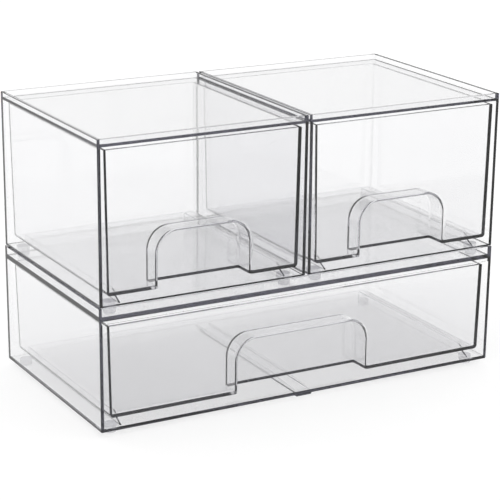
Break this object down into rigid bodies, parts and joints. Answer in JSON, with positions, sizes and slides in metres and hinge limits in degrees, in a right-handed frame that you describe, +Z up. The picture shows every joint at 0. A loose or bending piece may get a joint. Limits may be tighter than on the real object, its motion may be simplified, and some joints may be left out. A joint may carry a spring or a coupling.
{
  "type": "stacked clear drawer organizer",
  "caption": "Clear stackable vanity organizer: half-width drawer units side by side on a full-width one, each an open-fronted case on feet with a pull-out drawer and arched finger recess.",
  "frame": {"origin": "middle of the footprint, on the surface that the lower unit's feet stand on", "axes": "+X across the width to the right as seen from the front, +Y from the open fronts to the back, +Z up"},
  "size_m": [0.318, 0.165, 0.2075],
  "materials": {
    "clear_case": "clear polished moulding",
    "clear_drawer": "clear polished moulding",
    "clear_bumper": "clear soft, satin"
  },
  "bodies": {
    "lower_case": {"lower_case": "clear_case", "lower_foot_front_left": "clear_bumper", "lower_foot_back_left": "clear_bumper", "lower_foot_front_right": "clear_bumper", "lower_foot_back_right": "clear_bumper"},
    "lower_drawer": {"lower_drawer": "clear_drawer"},
    "left_case": {"left_case": "clear_case", "left_foot_front_left": "clear_bumper", "left_foot_back_left": "clear_bumper", "left_foot_front_right": "clear_bumper", "left_foot_back_right": "clear_bumper"},
    "left_drawer": {"left_drawer": "clear_drawer"},
    "right_case": {"right_case": "clear_case", "right_foot_front_left": "clear_bumper", "right_foot_back_left": "clear_bumper", "right_foot_front_right": "clear_bumper", "right_foot_back_right": "clear_bumper"},
    "right_drawer": {"right_drawer": "clear_drawer"}
  },
  "joints": [
    {"name": "lower_drawer_slide", "type": "slide", "parent": "lower_case", "child": "lower_drawer", "axis": [0, -1, 0], "range_m": [0, 0.14]},
    {"name": "left_unit_lift", "type": "slide", "parent": "lower_case", "child": "left_case", "axis": [0, 0, 1], "range_m": [0, 0.03]},
    {"name": "left_drawer_slide", "type": "slide", "parent": "left_case", "child": "left_drawer", "axis": [0, -1, 0], "range_m": [0, 0.14]},
    {"name": "right_unit_lift", "type": "slide", "parent": "lower_case", "child": "right_case", "axis": [0, 0, 1], "range_m": [0, 0.03]},
    {"name": "right_drawer_slide", "type": "slide", "parent": "right_case", "child": "right_drawer", "axis": [0, -1, 0], "range_m": [0, 0.14]}
  ]
}
